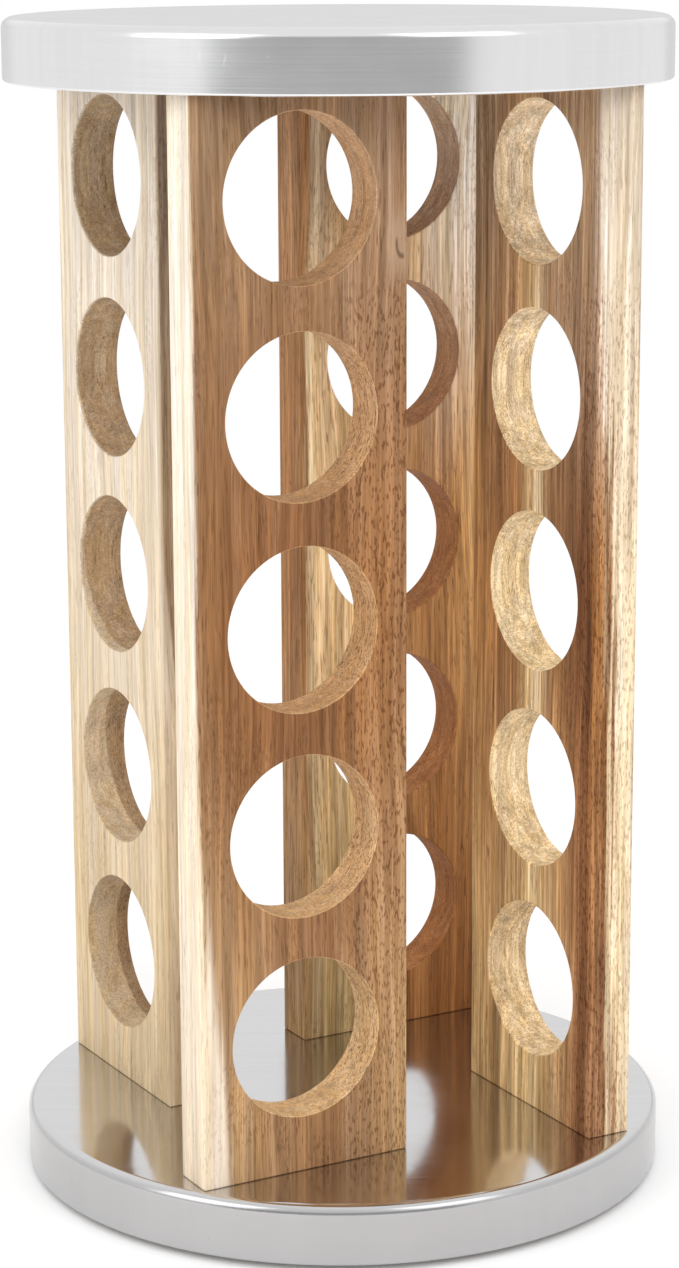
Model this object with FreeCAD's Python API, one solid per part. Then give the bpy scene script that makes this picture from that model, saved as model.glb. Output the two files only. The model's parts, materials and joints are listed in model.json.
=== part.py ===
import FreeCAD
import Part
import math
import os

# A spice carousel: four upright wooden jar panels stand in a pinwheel between two steel-cased
# discs, and the whole tower turns on a flat ball bearing that is screwed to a low foot.
#
# Frame: millimetres, +Z up, origin on the table at the centre of the foot. The front panel
# faces -Y, and the right, back and left panels are the same panel turned by quarter turns.

# --- Discs: a drawn steel pan over a fibreboard core, the same at the top and the bottom ---
disc_d = 190.0          # outer diameter of both pans
pan_h = 17.5            # height of a pan from its rim to its flat face
sheet_t = 0.8           # thickness of the steel sheet
pan_edge_r = 3.0        # outer radius of the edge between flat face and skirt
hem_h = 3.0             # height of the folded hem along the rim
board_t = 6.0           # thickness of the core board
board_gap = 0.3         # gap between the board's edge and the hem that it is pushed past

# --- Jar panels ---
panel_w = 65.5          # width of a panel
panel_t = 13.8          # thickness of a panel
panel_face = 54.0       # distance from the spin axis to a panel's outer face
panel_inset = 3.0       # how far a panel's outer corner stays inside the disc's rim
panel_ease = 0.6        # chamfer along the panel's long edges
jar_hole_d = 46.5       # hole for a 45 mm jar
jar_hole_ease = 0.4     # chamfer round each hole's rims
tiers = 5               # holes in each panel
tier_pitch = 58.7       # distance between hole centres
foot_web = 16.4         # wood between the base and the lowest hole
cap_reveal = 5.0        # wood that shows between the highest hole and the cap's rim

# --- Panel screws: countersunk, one kind for the panels' tops and feet ---
wood_screw_d = 3.5      # shank
wood_screw_head_d = 7.0
wood_screw_len = 25.0
wood_screw_edge = 9.0   # distance from a panel's long edge to the screw's axis
screw_hole_gap = 0.25   # radial clearance of a screw in sheet metal
tip_taper = 1.6         # length of a screw's point, in shank diameters
slot_w = 0.9            # width of the cross recess
slot_depth = 0.45       # depth of the cross recess, in head heights

# --- Ball ring ---
ball_d = 4.0
ball_count = 24
ball_path_r = 54.0      # radius of the circle through the balls' centres
groove_gap = 0.06       # clearance between a ball and its groove
race_gap = 2.4          # radial distance between the two rings
race_w = 7.8            # radial width of each ring
race_h = 6.7            # height of each ring
race_lift = 0.5         # how far each ring stays off the part that it turns against
cage_t = 1.4            # wall of the cage
cage_web = 0.8          # cage material above and below each ball
cage_hole_gap = 0.1     # clearance round a ball in the cage

# --- Ring and foot screws ---
ring_screw_d = 3.0
ring_screw_head_d = 5.6
ring_screw_count = 4
ring_screw_len = 11.5
foot_screw_len = 8.0

# --- Foot ---
foot_plate_d = 140.0
foot_plate_t = 3.0
foot_plate_ease = 0.5
pad_d = 16.0
pad_h = 2.5
pad_count = 6
pad_ease = 0.4
pad_edge = 4.0          # distance from a pad to the plate's edge

# --- Heights and places that follow from the values above ---
disc_r = disc_d / 2
jar_hole_r = jar_hole_d / 2
bearing_h = race_h + race_lift
plate_z = pad_h
bearing_z = plate_z + foot_plate_t
base_board_z = bearing_z + bearing_h
base_top_z = base_board_z + board_t + sheet_t
base_rim_z = base_top_z - pan_h
open_h = foot_web + (tiers - 1) * tier_pitch + jar_hole_d + cap_reveal
cap_rim_z = base_top_z + open_h
cap_top_z = cap_rim_z + pan_h
cap_board_z = cap_top_z - sheet_t - board_t
panel_len = cap_board_z - base_top_z
panel_far = math.sqrt((disc_r - panel_inset) ** 2 - panel_face ** 2)
panel_mid_x = panel_w / 2 - panel_far
panel_mid_y = panel_t / 2 - panel_face
screw_reach = panel_w / 2 - wood_screw_edge
ball_z = bearing_z + bearing_h / 2
hem_t = 2 * sheet_t
quarter_turns = {"front": 0, "right": 90, "back": 180, "left": 270}

UP = FreeCAD.Vector(0, 0, 1)
CENTRE = FreeCAD.Vector(0, 0, 0)


def at(x, y, z):
    """A point in millimetres."""
    return FreeCAD.Vector(x, y, z)


def turned(shape, degrees):
    """A copy of a shape, turned about the spin axis."""
    copy = shape.copy()
    copy.rotate(CENTRE, UP, degrees)
    return copy


def ring_of(shape, count, start=0.0):
    """Copies of a shape, evenly spaced about the spin axis."""
    return [turned(shape, start + i * 360.0 / count) for i in range(count)]


def revolved(edges):
    """A solid made by turning a closed outline in the XZ plane about the spin axis."""
    face = Part.Face(Part.Wire(edges))
    return face.revolve(CENTRE, UP, 360)


def line(a, b):
    """A straight edge between two (radius, height) points."""
    return Part.LineSegment(at(a[0], 0, a[1]), at(b[0], 0, b[1])).toShape()


def arc(a, middle, b):
    """An arc through three (radius, height) points."""
    return Part.Arc(at(a[0], 0, a[1]), at(middle[0], 0, middle[1]), at(b[0], 0, b[1])).toShape()


def disc(radius, height, z):
    """A plain round plate that stands on height z."""
    return Part.makeCylinder(radius, height, at(0, 0, z))


def annulus(inner, outer, height, z):
    """A plain flat ring that stands on height z."""
    return disc(outer, height, z).cut(disc(inner, height, z))


def edges_at(shape, z):
    """The shape's circular edges that lie flat at height z."""
    flat = [e for e in shape.Edges if abs(e.BoundBox.ZMin - z) < 1e-6 and e.BoundBox.ZLength < 1e-6]
    return [e for e in flat if isinstance(e.Curve, Part.Circle)]


def steel_pan(top, rim):
    """A drawn pan, open at the bottom: flat face, rounded edge and a skirt with a folded hem."""
    inner_r = disc_r - sheet_t
    hem_r = disc_r - hem_t
    hem_round = hem_t / 2
    corner_r = disc_r - pan_edge_r
    corner_z = top - pan_edge_r
    bend = math.sqrt(0.5)
    inner_bend_r = pan_edge_r - sheet_t
    outer_mid = (corner_r + pan_edge_r * bend, corner_z + pan_edge_r * bend)
    inner_mid = (corner_r + inner_bend_r * bend, corner_z + inner_bend_r * bend)
    return revolved([
        line((0, top), (corner_r, top)),
        arc((corner_r, top), outer_mid, (disc_r, corner_z)),
        line((disc_r, corner_z), (disc_r, rim + hem_round)),
        arc((disc_r, rim + hem_round), (disc_r - hem_round, rim), (hem_r, rim + hem_round)),
        line((hem_r, rim + hem_round), (hem_r, rim + hem_h)),
        line((hem_r, rim + hem_h), (inner_r, rim + hem_h)),
        line((inner_r, rim + hem_h), (inner_r, corner_z)),
        arc((inner_r, corner_z), inner_mid, (corner_r, top - sheet_t)),
        line((corner_r, top - sheet_t), (0, top - sheet_t)),
        line((0, top - sheet_t), (0, top)),
    ])


def core_board(z):
    """A round board whose upper edge is chamfered to clear the pan's rounded corner."""
    board = disc(disc_r - hem_t - board_gap, board_t, z)
    return board.makeChamfer(pan_edge_r - sheet_t, edges_at(board, z + board_t))


def screw_blank(shank_d, head_d, length):
    """A countersunk screw without its recess: head face on Z = 0 and point upwards."""
    shank_r = shank_d / 2
    head_r = head_d / 2
    head_h = head_r - shank_r
    tip_z = length - tip_taper * shank_d
    return revolved([
        line((0, 0), (head_r, 0)),
        line((head_r, 0), (shank_r, head_h)),
        line((shank_r, head_h), (shank_r, tip_z)),
        line((shank_r, tip_z), (0, length)),
        line((0, length), (0, 0)),
    ])


def screw(shank_d, head_d, length):
    """A countersunk screw with a cross recess in its head."""
    arm = head_d * 0.6
    depth = slot_depth * (head_d - shank_d)
    body = screw_blank(shank_d, head_d, length)
    recess = Part.makeBox(arm, slot_w, depth, at(-arm / 2, -slot_w / 2, 0))
    return body.cut(recess.fuse(turned(recess, 90)))


def placed(shape, x, y, z, flip=False):
    """A copy of an upright shape at a point, turned upside down if asked."""
    copy = shape.copy()
    if flip:
        copy.rotate(CENTRE, FreeCAD.Vector(1, 0, 0), 180)
    copy.translate(at(x, y, z))
    return copy


def panel_screws(shape, z, flip):
    """The pair of screws at one end of the front panel."""
    places = [panel_mid_x - screw_reach, panel_mid_x + screw_reach]
    return [placed(shape, x, panel_mid_y, z, flip) for x in places]


def round_all(shapes):
    """Each shape of the front panel's end, repeated for all four panels."""
    return [turned(s, degrees) for degrees in quarter_turns.values() for s in shapes]


def jar_hole(height):
    """A hole through the front panel, with a small chamfer round both rims."""
    front = -panel_face
    back = panel_t - panel_face
    wide = jar_hole_r + jar_hole_ease
    outward = FreeCAD.Vector(0, -1, 0)
    inward = FreeCAD.Vector(0, 1, 0)
    hole = Part.makeCylinder(jar_hole_r, panel_t, at(panel_mid_x, front, height), inward)
    outer = Part.makeCone(wide, jar_hole_r, jar_hole_ease, at(panel_mid_x, front, height), inward)
    inner = Part.makeCone(wide, jar_hole_r, jar_hole_ease, at(panel_mid_x, back, height), outward)
    return hole.fuse([outer, inner])


def front_panel(screw_shape):
    """The front jar panel with its five holes and its four pilot holes."""
    corner = at(panel_mid_x - panel_w / 2, -panel_face, base_top_z)
    board = Part.makeBox(panel_w, panel_t, panel_len, corner)
    upright = [e for e in board.Edges if abs(e.BoundBox.ZLength - panel_len) < 1e-6]
    board = board.makeChamfer(panel_ease, upright)
    first = base_top_z + foot_web + jar_hole_r
    holes = [jar_hole(first + i * tier_pitch) for i in range(tiers)]
    pilots = panel_screws(screw_shape, base_board_z, False)
    pilots += panel_screws(screw_shape, cap_board_z + board_t, True)
    return board.cut(holes + pilots)


def race_groove():
    """The round channel that the balls run in, as a solid ring."""
    return Part.makeTorus(ball_path_r, ball_d / 2 + groove_gap, at(0, 0, ball_z))


def outer_race(screws):
    """The ring that turns with the tower, grooved inside and screwed up into the base board."""
    inner = ball_path_r + race_gap / 2
    ring = annulus(inner, inner + race_w, race_h, bearing_z + race_lift)
    return ring.cut([race_groove()] + screws)


def inner_race(screws):
    """The ring that stays on the foot, grooved outside and held from below."""
    outer = ball_path_r - race_gap / 2
    ring = annulus(outer - race_w, outer, race_h, bearing_z)
    return ring.cut([race_groove()] + screws)


def ball_cage():
    """The thin ring that keeps the balls evenly spaced."""
    half_h = ball_d / 2 + cage_hole_gap + cage_web
    ring = annulus(ball_path_r - cage_t / 2, ball_path_r + cage_t / 2, 2 * half_h, ball_z - half_h)
    start = at(ball_path_r - ball_d, 0, ball_z)
    pocket = Part.makeCylinder(ball_d / 2 + cage_hole_gap, 2 * ball_d, start, FreeCAD.Vector(1, 0, 0))
    return ring.cut(ring_of(pocket, ball_count))


def foot_plate(screws):
    """The round plate that stays still on the table."""
    plate = disc(foot_plate_d / 2, foot_plate_t, plate_z)
    plate = plate.makeChamfer(foot_plate_ease, edges_at(plate, plate_z))
    return plate.cut(screws)


def foot_pad():
    """One rubber pad under the plate, at its place on the +X side."""
    radius = foot_plate_d / 2 - pad_edge - pad_d / 2
    pad = Part.makeCylinder(pad_d / 2, pad_h, at(radius, 0, 0))
    return pad.makeChamfer(pad_ease, edges_at(pad, 0))


def with_sheet_holes(pan):
    """The base pan with a clear hole for each panel screw."""
    hole = Part.makeCylinder(wood_screw_d / 2 + screw_hole_gap, 2 * sheet_t)
    return pan.cut(round_all(panel_screws(hole, base_top_z - 1.5 * sheet_t, False)))


def save(name, shape):
    """Writes one node."""
    shape.exportStep(os.path.join("parts", name + ".step"))


def build():
    """Makes every piece and writes it to its own file."""
    os.makedirs("parts", exist_ok=True)

    # Screws and the holes that they fill.
    wood_blank = screw_blank(wood_screw_d, wood_screw_head_d, wood_screw_len)
    wood_screw = screw(wood_screw_d, wood_screw_head_d, wood_screw_len)
    ring_blank = screw_blank(ring_screw_d, ring_screw_head_d, ring_screw_len)
    ring_screw = screw(ring_screw_d, ring_screw_head_d, ring_screw_len)
    foot_blank = screw_blank(ring_screw_d, ring_screw_head_d, foot_screw_len)
    foot_screw = screw(ring_screw_d, ring_screw_head_d, foot_screw_len)
    cap_screw_z = cap_board_z + board_t

    # Ring screws stand halfway round between the panels' screws, foot screws between the pads.
    near = math.atan2(panel_mid_y, panel_mid_x + screw_reach)
    far = math.atan2(panel_mid_y, panel_mid_x - screw_reach)
    ring_start = math.degrees(near + far) / 2 + 180.0 / ring_screw_count
    ring_r = ball_path_r + race_gap / 2 + race_w / 2
    foot_r = ball_path_r - race_gap / 2 - race_w / 2
    ring_z = bearing_z + race_lift
    pad_step = 360.0 / pad_count

    def ring_places(shape):
        return ring_of(placed(shape, ring_r, 0, ring_z), ring_screw_count, ring_start)

    def foot_places(shape):
        return ring_of(placed(shape, foot_r, 0, plate_z), pad_count, pad_step / 2)

    # The turning tower.
    save("cap_pan", steel_pan(cap_top_z, cap_rim_z))
    save("cap_board", core_board(cap_board_z).cut(round_all(panel_screws(wood_blank, cap_screw_z, True))))
    panel = front_panel(wood_blank)
    for side, degrees in quarter_turns.items():
        save("jar_panel_" + side, turned(panel, degrees))
    top_screws = round_all(panel_screws(wood_screw, cap_screw_z, True))
    foot_screws = round_all(panel_screws(wood_screw, base_board_z, False))
    save("panel_top_screws", Part.makeCompound(top_screws))
    save("panel_foot_screws", Part.makeCompound(foot_screws))
    save("base_pan", with_sheet_holes(steel_pan(base_top_z, base_rim_z)))
    board_holes = round_all(panel_screws(wood_blank, base_board_z, False)) + ring_places(ring_blank)
    save("base_board", core_board(base_board_z).cut(board_holes))
    save("bearing_outer_ring", outer_race(ring_places(ring_blank)))
    save("bearing_ring_screws", Part.makeCompound(ring_places(ring_screw)))

    # The balls and their cage, which roll round at half the tower's speed.
    save("bearing_cage", ball_cage())
    ball = Part.makeSphere(ball_d / 2, at(ball_path_r, 0, ball_z))
    save("bearing_balls", Part.makeCompound(ring_of(ball, ball_count)))

    # The foot that stays on the table.
    save("bearing_inner_ring", inner_race(foot_places(foot_blank)))
    save("foot_plate", foot_plate(foot_places(foot_blank)))
    save("foot_plate_screws", Part.makeCompound(foot_places(foot_screw)))
    for number, pad in enumerate(ring_of(foot_pad(), pad_count), start=1):
        save("foot_pad_%d" % number, pad)


build()
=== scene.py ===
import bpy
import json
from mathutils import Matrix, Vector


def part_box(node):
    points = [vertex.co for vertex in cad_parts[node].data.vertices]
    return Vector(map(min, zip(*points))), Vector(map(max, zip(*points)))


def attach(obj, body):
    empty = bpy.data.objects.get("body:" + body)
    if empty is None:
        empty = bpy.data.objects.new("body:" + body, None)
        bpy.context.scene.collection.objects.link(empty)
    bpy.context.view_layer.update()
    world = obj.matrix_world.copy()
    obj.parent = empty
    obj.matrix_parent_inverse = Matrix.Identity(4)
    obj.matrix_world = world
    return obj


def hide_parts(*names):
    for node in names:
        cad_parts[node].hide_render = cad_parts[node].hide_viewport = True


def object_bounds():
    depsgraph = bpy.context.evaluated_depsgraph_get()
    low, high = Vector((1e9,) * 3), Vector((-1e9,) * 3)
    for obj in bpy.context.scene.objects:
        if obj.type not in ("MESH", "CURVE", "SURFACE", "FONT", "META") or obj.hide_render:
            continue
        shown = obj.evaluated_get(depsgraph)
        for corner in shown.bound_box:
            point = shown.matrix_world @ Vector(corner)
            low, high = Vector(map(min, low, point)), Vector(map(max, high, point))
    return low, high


bl_info = {
    "name": "Spice Tower",
    "version": (1, 0, 0),
    "blender": (4, 5, 0),
    "location": "View3D > Sidebar > Spice Tower",
    "description": "Finishes a spice tower of wooden jar panels between brushed steel discs",
    "category": "Object",
}

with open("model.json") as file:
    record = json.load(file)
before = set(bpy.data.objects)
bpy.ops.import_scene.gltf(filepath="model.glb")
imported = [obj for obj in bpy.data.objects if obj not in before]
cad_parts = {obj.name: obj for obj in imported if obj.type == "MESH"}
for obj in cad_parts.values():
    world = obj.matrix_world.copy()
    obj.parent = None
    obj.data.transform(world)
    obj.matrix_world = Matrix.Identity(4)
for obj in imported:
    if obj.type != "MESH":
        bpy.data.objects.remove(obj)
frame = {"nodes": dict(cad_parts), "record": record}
CAD_LOW, CAD_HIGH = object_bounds()

import json
import math

import bmesh
import bpy
from bpy.props import FloatProperty, FloatVectorProperty, IntProperty, PointerProperty
from bpy.types import Operator, Panel, PropertyGroup
from mathutils import Matrix, Vector

MM = 0.001
PER_MM = 1.0 / MM
NEAR = 0.01 * MM                # two places this close are the same one
SHARP = 1.0                     # faces that meet at more radians than this have an edge to round
MOUNTS = frame["record"]["mounts"]
QUARTER_TURNS = {"front": 0, "right": 90, "back": 180, "left": 270}
PANS = ("cap_pan", "base_pan")
TOWER = "carousel"
SIDEBAR = "Spice Tower"

# The steel pans
HEM_ROUNDING = 0.98             # of the sheet's thickness, at the two lower edges of the hem
HEM_EASE = 0.2 * MM             # rounding of the folded edge inside
SCREW_HOLE_R = 2.0 * MM         # clear hole in the base for a panel screw
SCREW_HEAD = 8.0 * MM           # wider than any screw's head

# The studio
HEADING = math.radians(29.25)   # the brush marks on the pans lie along it too
FLOOR_GLOW = 0.1
SOFTBOX_DISTANCE = 1.3
# Azimuth, elevation, size, share of the key light's power, and whether the steel mirrors it
SOFTBOXES = {
    "left_softbox": (-50, 27, 0.8, 0.6, True),
    "front_softbox": (4, 27, 0.5, 1.0, False),
    "right_softbox": (42, 36, 0.7, 0.4, True),
}
# The studio's two grey patches: the angles in degrees where each is full and where it is gone
GAP_SIDES = (39, 47)            # from the direction toward the camera
GAP_HEIGHT = (18, 34)           # above the horizon
BAND_SIDES = (155, 140)
BAND_HEIGHT = (7, 12)


# ---------------------------------------------------------------- node trees

def srgb(red, green, blue):
    """A linear colour with alpha, from the 0 to 255 values of a colour chart."""
    def linear(value):
        share = value / 255.0
        if share <= 0.04045:
            return share / 12.92
        return ((share + 0.055) / 1.055) ** 2.4
    return (linear(red), linear(green), linear(blue), 1.0)


class Nodes:
    """Builds a node tree from short calls. An argument may be a number, a tuple or a socket."""

    def __init__(self, tree):
        self.tree = tree

    def put(self, kind, **settings):
        node = self.tree.nodes.new(kind)
        for key, value in settings.items():
            setattr(node, key, value)
        return node

    def feed(self, socket, value):
        if isinstance(value, bpy.types.NodeSocket):
            self.tree.links.new(value, socket)
        elif value is not None:
            socket.default_value = value

    def math(self, operation, *values):
        node = self.put("ShaderNodeMath", operation=operation)
        for socket, value in zip(node.inputs, values):
            self.feed(socket, value)
        return node.outputs[0]

    def plus(self, a, b):
        return self.math("ADD", a, b)

    def minus(self, a, b):
        return self.math("SUBTRACT", a, b)

    def times(self, a, b):
        return self.math("MULTIPLY", a, b)

    def power(self, a, b):
        return self.math("POWER", a, b)

    def reach(self, a, b):
        """The distance from (0, 0) to (a, b)."""
        return self.math("SQRT", self.plus(self.times(a, a), self.times(b, b)))

    def ranged(self, style, value, start, end, low, high):
        node = self.put("ShaderNodeMapRange", interpolation_type=style)
        for name, given in (("Value", value), ("From Min", start), ("From Max", end),
                            ("To Min", low), ("To Max", high)):
            self.feed(node.inputs[name], given)
        return node.outputs["Result"]

    def smooth(self, value, start, end, low=0.0, high=1.0):
        """A smooth step from low, where value is start, to high, where it is end."""
        return self.ranged("SMOOTHSTEP", value, start, end, low, high)

    def spread(self, value, start, end, low, high):
        """A straight, clamped change from low to high."""
        return self.ranged("LINEAR", value, start, end, low, high)

    def mix(self, factor, a, b, blend="MIX"):
        node = self.put("ShaderNodeMix", data_type="RGBA", blend_type=blend)
        self.feed(node.inputs[0], factor)
        self.feed(node.inputs[6], a)
        self.feed(node.inputs[7], b)
        return node.outputs[2]

    def tinted(self, colour, tint):
        """One colour multiplied by another."""
        return self.mix(1.0, colour, tint, "MULTIPLY")

    def shaded(self, colour, tone):
        """A colour whose red, green and blue are all scaled by one tone."""
        node = self.put("ShaderNodeCombineColor")
        for socket, share in zip(node.inputs, colour):
            self.feed(socket, self.times(tone, share))
        return node.outputs[0]

    def ramp(self, factor, stops):
        node = self.put("ShaderNodeValToRGB")
        elements = node.color_ramp.elements
        while len(elements) < len(stops):
            elements.new(0.5)
        for element, (place, colour) in zip(elements, stops):
            element.position = place
            element.color = colour
        self.feed(node.inputs[0], factor)
        return node.outputs[0]

    def place(self, turn=0.0, shift=(0.0, 0.0, 0.0)):
        """The piece's own coordinates, scaled to millimetres, turned about Z and shifted."""
        source = self.put("ShaderNodeTexCoord").outputs["Object"]
        return self.mapped(source, (PER_MM,) * 3, turn, shift)

    def mapped(self, vector, scale, turn, shift):
        node = self.put("ShaderNodeMapping", vector_type="POINT")
        self.feed(node.inputs["Vector"], vector)
        node.inputs["Scale"].default_value = scale
        node.inputs["Rotation"].default_value = (0.0, 0.0, math.radians(turn))
        node.inputs["Location"].default_value = shift
        return node.outputs[0]

    def split(self, vector):
        node = self.put("ShaderNodeSeparateXYZ")
        self.feed(node.inputs[0], vector)
        return node.outputs[0], node.outputs[1], node.outputs[2]

    def join(self, x, y, z):
        node = self.put("ShaderNodeCombineXYZ")
        for socket, value in zip(node.inputs, (x, y, z)):
            self.feed(socket, value)
        return node.outputs[0]

    def noise(self, vector, size, seed, detail=2.0, roughness=0.5):
        """Noise whose blobs measure size (x, y, z) in the vector's units."""
        node = self.put("ShaderNodeTexNoise")
        place = self.mapped(vector, tuple(1.0 / s for s in size), 0.0, (seed, seed * 1.7, seed * 0.6))
        self.feed(node.inputs["Vector"], place)
        node.inputs["Scale"].default_value = 1.0
        node.inputs["Detail"].default_value = detail
        node.inputs["Roughness"].default_value = roughness
        return node.outputs["Fac"]

    def cells(self, vector, size, seed):
        """The distance to the nearest of scattered points, for granular finishes."""
        node = self.put("ShaderNodeTexVoronoi")
        place = self.mapped(vector, tuple(1.0 / s for s in size), 0.0, (seed, seed, seed))
        self.feed(node.inputs["Vector"], place)
        node.inputs["Scale"].default_value = 1.0
        return node.outputs["Distance"]

    def bump(self, height, depth, strength):
        """A bump whose full height is depth millimetres."""
        node = self.put("ShaderNodeBump")
        self.feed(node.inputs["Height"], height)
        node.inputs["Distance"].default_value = depth * MM
        node.inputs["Strength"].default_value = strength
        return node.outputs[0]

    def shader(self, **inputs):
        """The Principled shader that the material ends in."""
        node = self.put("ShaderNodeBsdfPrincipled")
        for key, value in inputs.items():
            self.feed(node.inputs[key.replace("_", " ")], value)
        output = self.put("ShaderNodeOutputMaterial")
        self.tree.links.new(node.outputs[0], output.inputs["Surface"])


def new_material(name):
    """An empty material and the builder of its nodes."""
    material = bpy.data.materials.new(name)
    material.use_nodes = True
    material.node_tree.nodes.clear()
    return material, Nodes(material.node_tree)


# --------------------------------------------------------------------- wood

def panel_box():
    """The front jar panel's corners."""
    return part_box("jar_panel_front")


# Each board is cut from another part of the log. The heartwood's stops run across the board from
# its left edge to its right edge, seen from outside, at its foot, half way up and at its top.
# Places are in millimetres from the middle of the board's foot, on its outer face. The sapwood
# lies where across * x + through * y + start is under zero, and its border shifts by sap_bend
# between two heights. Walls have three tones from foot to top, partly their own colour and partly
# painted light and shade: paler where light reaches the walls, darker deep inside the tower. The
# right board's tones and the back board's top tones are raised above the wood's own colour as
# painted light on inner faces that little light reaches. The grain starts to dip at the surface at
# curl's first place across the board, and dips fully from its second. Figure is the contrast of the
# streaks.
BOARDS = {
    "front": {
        "seed": 3.1, "figure": 1.45, "ragged": 1.0,
        "foot": ((0.0, (187, 156, 119)), (0.2, (171, 137, 99)), (0.4, (164, 126, 89)),
                 (0.62, (152, 115, 82)), (0.8, (167, 131, 95)), (1.0, (192, 158, 116))),
        "middle": ((0.0, (146, 106, 70)), (0.2, (134, 92, 58)), (0.45, (128, 86, 53)),
                   (0.65, (124, 84, 50)), (0.8, (148, 104, 66)), (1.0, (156, 113, 74))),
        "top": ((0.0, (149, 120, 92)), (0.15, (143, 116, 90)), (0.35, (154, 122, 92)),
                (0.6, (160, 128, 98)), (0.8, (162, 132, 104)), (1.0, (161, 130, 103))),
        "sap_foot": (237, 222, 200), "sap_top": (244, 236, 223), "sap_figure": 0.6, "sap_pores": 0.5,
        "sap_across": 1.0, "sap_through": -1.2, "sap_start": 33.6, "sap_soft": 2.2,
        "sap_bend": -8.5, "bend_from": 115.0, "bend_to": 0.0,
        "wall": ((228, 196, 150), (210, 172, 128), (204, 167, 130)),
        "curl": (6.0, 18.0), "knot": (31.2, 261.0),
    },
    # Painted light: the right board's tones are raised for its inner face, which little light reaches.
    "right": {
        "seed": 11.7, "figure": 2.2, "ragged": 1.0,
        "foot": ((0.0, (156, 112, 76)), (0.04, (142, 98, 64)), (0.1, (150, 106, 70)),
                 (0.18, (198, 156, 110)), (0.45, (228, 198, 148)), (0.7, (216, 184, 134)),
                 (0.85, (174, 140, 94)), (0.93, (202, 170, 122)), (1.0, (218, 190, 144))),
        "middle": ((0.0, (150, 103, 58)), (0.05, (126, 83, 49)), (0.13, (120, 77, 44)),
                   (0.22, (158, 114, 73)), (0.35, (154, 111, 72)), (0.45, (225, 201, 162)),
                   (0.55, (208, 175, 128)), (0.65, (156, 109, 66)), (0.8, (153, 106, 63)),
                   (0.92, (167, 121, 72)), (1.0, (178, 132, 82))),
        "top": ((0.0, (214, 192, 168)), (0.08, (186, 158, 130)), (0.2, (196, 168, 138)),
                (0.4, (178, 147, 114)), (0.5, (216, 184, 140)), (0.65, (196, 158, 114)),
                (0.8, (178, 149, 119)), (1.0, (166, 142, 114))),
        "sap_foot": (234, 214, 180), "sap_top": (224, 211, 194), "sap_figure": 1.1, "sap_pores": 0.7,
        "sap_across": 1.0, "sap_through": 0.35, "sap_start": 30.0, "sap_soft": 0.7,
        "sap_bend": -3.0, "bend_from": 170.0, "bend_to": 290.0,
        "wall": ((232, 208, 168), (246, 228, 188), (241, 223, 194)),
        "curl": (-20.0, -28.0), "knot": None,
    },
    "back": {
        "seed": 23.3, "figure": 1.7, "ragged": 0.6,
        "foot": ((0.0, (133, 86, 44)), (0.2, (140, 91, 47)), (0.5, (152, 102, 56)),
                 (0.75, (184, 160, 114)), (0.93, (188, 164, 121)), (1.0, (178, 147, 107))),
        "middle": ((0.0, (214, 176, 122)), (0.08, (198, 152, 98)), (0.2, (156, 110, 64)),
                   (0.5, (171, 127, 82)), (0.7, (223, 188, 137)), (0.9, (232, 199, 151)),
                   (0.94, (246, 224, 184)), (0.97, (170, 124, 80)), (1.0, (170, 124, 80))),
        # Painted light: the back board's top tones are raised near white where little light reaches
        # under the cap.
        "top": ((0.0, (252, 246, 234)), (0.22, (250, 241, 222)), (0.4, (230, 200, 160)),
                (0.6, (188, 158, 124)), (0.85, (186, 156, 120)), (0.93, (244, 228, 200)),
                (0.96, (194, 152, 112)), (1.0, (190, 148, 108))),
        "sap_foot": (222, 198, 160), "sap_top": (240, 228, 208), "sap_figure": 0.5, "sap_pores": 0.5,
        "sap_across": 1.0, "sap_through": 0.0, "sap_start": 60.0, "sap_soft": 1.0,
        "sap_bend": 0.0, "bend_from": 150.0, "bend_to": 0.0,
        "wall": ((176, 122, 76), (160, 108, 68), (156, 116, 80)),
        "curl": (60.0, 70.0), "knot": None,
    },
    "left": {
        "seed": 37.9, "figure": 1.6, "ragged": 0.25,
        "foot": ((0.0, (186, 160, 126)), (0.5, (182, 152, 116)), (1.0, (200, 174, 138))),
        "middle": ((0.0, (172, 146, 114)), (0.5, (166, 138, 106)), (1.0, (176, 152, 122))),
        "top": ((0.0, (150, 130, 104)), (0.5, (146, 124, 98)), (1.0, (150, 134, 116))),
        "sap_foot": (216, 196, 163), "sap_top": (230, 221, 208), "sap_figure": 0.75, "sap_pores": 0.6,
        "sap_across": 0.0, "sap_through": 1.0, "sap_start": -0.8, "sap_soft": 0.5,
        "sap_bend": -9.0, "bend_from": 180.0, "bend_to": 60.0,
        "wall": ((146, 122, 95), (186, 162, 131), (185, 166, 138)),
        "curl": (60.0, 70.0), "knot": None,
    },
}


def by_height(n, rows, z, length):
    """Blends three colours or colour sockets: the foot's, the middle's and the top's."""
    lower = n.mix(n.smooth(z, 0.0, 0.5 * length), rows[0], rows[1])
    return n.mix(n.smooth(z, 0.5 * length, length), lower, rows[2])


def sap_share(n, board, x, y, z, ragged):
    """1 in the pale sapwood and 0 in the heartwood, which meet on a plane that bends with height."""
    flat = n.plus(n.times(x, board["sap_across"]), n.times(y, board["sap_through"]))
    bend = n.smooth(z, board["bend_from"], board["bend_to"], 0.0, board["sap_bend"])
    depth = n.plus(n.plus(flat, board["sap_start"]), n.plus(bend, ragged))
    return n.smooth(depth, board["sap_soft"], -board["sap_soft"])


def darker_and_redder(n, shade):
    """A colour to multiply by: where shade falls under 1, blue falls faster than red."""
    node = n.put("ShaderNodeCombineColor")
    n.feed(node.inputs[0], shade)
    n.feed(node.inputs[1], n.power(shade, 1.14))
    n.feed(node.inputs[2], n.power(shade, 1.32))
    return node.outputs[0]


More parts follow.
